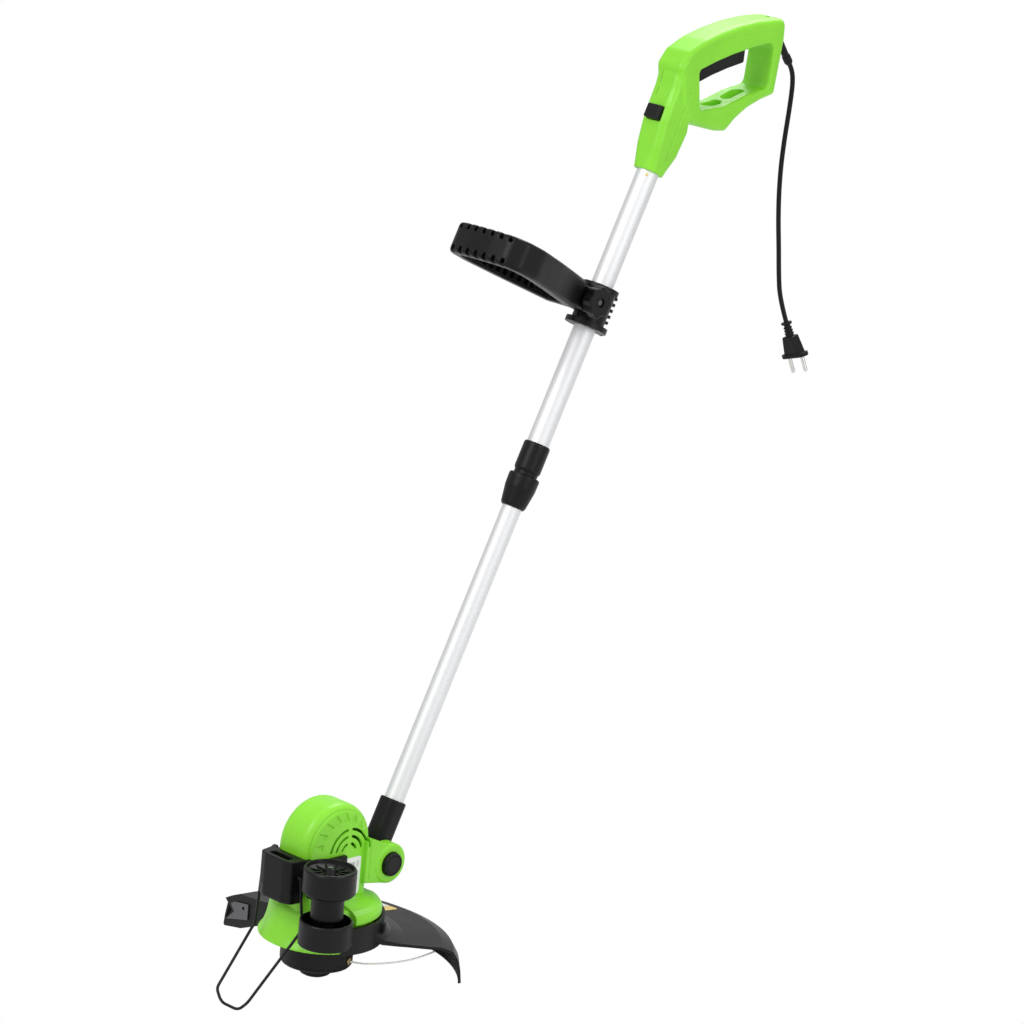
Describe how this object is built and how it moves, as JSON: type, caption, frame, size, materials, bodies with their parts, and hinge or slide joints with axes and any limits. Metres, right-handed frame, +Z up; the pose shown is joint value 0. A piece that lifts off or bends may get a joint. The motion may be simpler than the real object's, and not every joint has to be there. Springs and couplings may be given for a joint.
{
  "type": "lawn edger",
  "caption": "Corded electric lawn edger: telescopic tube shaft, trigger handle, side grip, tilting motor head with line spool, edging roller, wire plant guard and cutting guard.",
  "frame": {"origin": "middle of the main D-handle's grip, in the plane of the shaft", "axes": "+X to the user, +Z up as the tool is held, +Y to the side away from the edging roller; the shaft leans 32 degrees in the XZ plane"},
  "size_m": [0.8801, 0.2715, 0.9543],
  "materials": {
    "green_plastic": "satin moulded lime-green plastic",
    "black_plastic": "satin moulded black plastic",
    "black_button": "fine-textured black plastic",
    "aluminium_tube": "satin anodised aluminium",
    "steel": "zinc-plated steel",
    "spring_steel": "spring wire",
    "black_wire": "black-coated steel wire",
    "cord_rubber": "matt black flexible cord",
    "plug_metal": "nickel-plated brass",
    "nylon_line": "translucent white nylon",
    "white_label": "printed film label",
    "yellow_film": "yellow and white film",
    "dark_steel": "blackened steel",
    "copper_core": "laminated core with copper winding",
    "carbon": "carbon",
    "brass": "brass",
    "inner_plastic": "natural plastic"
  },
  "bodies": {
    "handle": {"handle_shell_left": "green_plastic", "handle_shell_right": "green_plastic", "handle_screws": "steel", "trigger_pin": "steel", "trigger_spring": "spring_steel", "mains_switch": "black_button", "shaft_lock_spring": "spring_steel", "cord_strain_relief": "cord_rubber", "mains_cord": "cord_rubber", "plug_body": "cord_rubber", "plug_pins": "plug_metal"},
    "trigger": {"trigger": "black_button"},
    "lock_button": {"shaft_lock_button": "black_button"},
    "upper_shaft": {"upper_shaft_tube": "aluminium_tube", "shaft_index_ring": "inner_plastic", "index_mark": "yellow_film", "upper_lock_collar": "black_plastic", "lock_collet": "inner_plastic"},
    "twist_sleeve": {"twist_lock_sleeve": "black_plastic"},
    "lower_shaft": {"lower_shaft_tube": "aluminium_tube", "shaft_pivot_socket": "black_plastic"},
    "clamp": {"aux_clamp": "black_plastic", "aux_clamp_bolt": "dark_steel"},
    "side_handle": {"aux_handle": "black_plastic"},
    "clamp_knob": {"aux_clamp_knob": "black_plastic"},
    "head": {"motor_housing_left": "green_plastic", "motor_housing_right": "green_plastic", "housing_screws": "steel", "pivot_axle": "steel", "pivot_lock_spring": "spring_steel", "motor_stator": "copper_core", "carbon_brushes": "carbon", "upper_bearing": "steel", "lower_bearing": "steel", "cutting_guard": "black_plastic", "guard_screws": "steel", "line_cutter_blade": "dark_steel", "edging_bracket": "black_plastic", "rating_label": "white_label", "guard_label": "yellow_film"},
    "pivot_button": {"pivot_lock_button": "black_button"},
    "rotor": {"motor_rotor": "copper_core", "cooling_fan": "inner_plastic", "spool_housing": "black_plastic", "line_eyelet": "brass", "spool_cap": "black_plastic", "line_reel": "inner_plastic", "wound_line": "nylon_line", "bump_spring": "spring_steel", "cutting_line": "nylon_line"},
    "bump": {"bump_knob": "black_plastic"},
    "roller": {"roller_upper_wheel": "black_plastic", "roller_lower_cup": "black_plastic", "roller_axle": "steel"},
    "wire_guard": {"wire_plant_guard": "black_wire"}
  },
  "joints": [
    {"name": "trigger_squeeze", "type": "hinge", "parent": "handle", "child": "trigger", "pos_m": [-0.0594, 0, -0.0096], "axis": [0, -1, 0], "range_deg": [0, 4], "stiffness_Nm_per_rad": 3, "springref_deg": -14.32, "deforming": ["trigger_spring"]},
    {"name": "lock_button_press", "type": "slide", "parent": "handle", "child": "lock_button", "axis": [0.8462, 0, -0.5329], "range_m": [0, 0.0038], "stiffness_N_per_m": 800, "springref_m": -0.003, "deforming": ["shaft_lock_spring"]},
    {"name": "shaft_turn", "type": "hinge", "parent": "handle", "child": "upper_shaft", "pos_m": [-0.1176, 0, -0.1272], "axis": [0.5329, 0, 0.8462], "range_deg": [0, 180]},
    {"name": "sleeve_turn", "type": "hinge", "parent": "upper_shaft", "child": "twist_sleeve", "pos_m": [-0.31903, 0, -0.44706], "axis": [0.5329, 0, 0.8462], "range_deg": [-90, 0]},
    {"name": "telescope", "type": "slide", "parent": "upper_shaft", "child": "lower_shaft", "axis": [0.5329, 0, 0.8462], "range_m": [0, 0.22]},
    {"name": "clamp_slide", "type": "slide", "parent": "upper_shaft", "child": "clamp", "axis": [0.5329, 0, 0.8462], "range_m": [-0.08, 0.06]},
    {"name": "side_handle_tilt", "type": "hinge", "parent": "clamp", "child": "side_handle", "pos_m": [-0.2311, 0, -0.24363], "axis": [0, 1, 0], "range_deg": [-35, 50]},
    {"name": "clamp_knob_turn", "type": "hinge", "parent": "clamp", "child": "clamp_knob", "pos_m": [-0.2311, 0, -0.24363], "axis": [0, 1, 0], "continuous": true},
    {"name": "head_tilt", "type": "hinge", "parent": "lower_shaft", "child": "head", "pos_m": [-0.54635, 0, -0.80805], "axis": [0, 1, 0], "range_deg": [-45, 20]},
    {"name": "pivot_button_press", "type": "slide", "parent": "head", "child": "pivot_button", "axis": [0, 1, 0], "range_m": [0, 0.003], "stiffness_N_per_m": 800, "springref_m": -0.003, "deforming": ["pivot_lock_spring"]},
    {"name": "spool_spin", "type": "hinge", "parent": "head", "child": "rotor", "pos_m": [-0.62823, 0, -0.88986], "axis": [0.1305, 0, 0.9914], "continuous": true},
    {"name": "bump_knob_press", "type": "slide", "parent": "rotor", "child": "bump", "axis": [0.1305, 0, 0.9914], "range_m": [0, 0.003], "stiffness_N_per_m": 600, "springref_m": -0.003, "deforming": ["bump_spring"]},
    {"name": "roller_roll", "type": "hinge", "parent": "head", "child": "roller", "pos_m": [-0.67728, -0.071, -0.80271], "axis": [0.1305, 0, 0.9914], "continuous": true},
    {"name": "wire_guard_fold", "type": "hinge", "parent": "head", "child": "wire_guard", "pos_m": [-0.67665, 0, -0.78262], "axis": [0, 1, 0], "range_deg": [0, 100]}
  ]
}
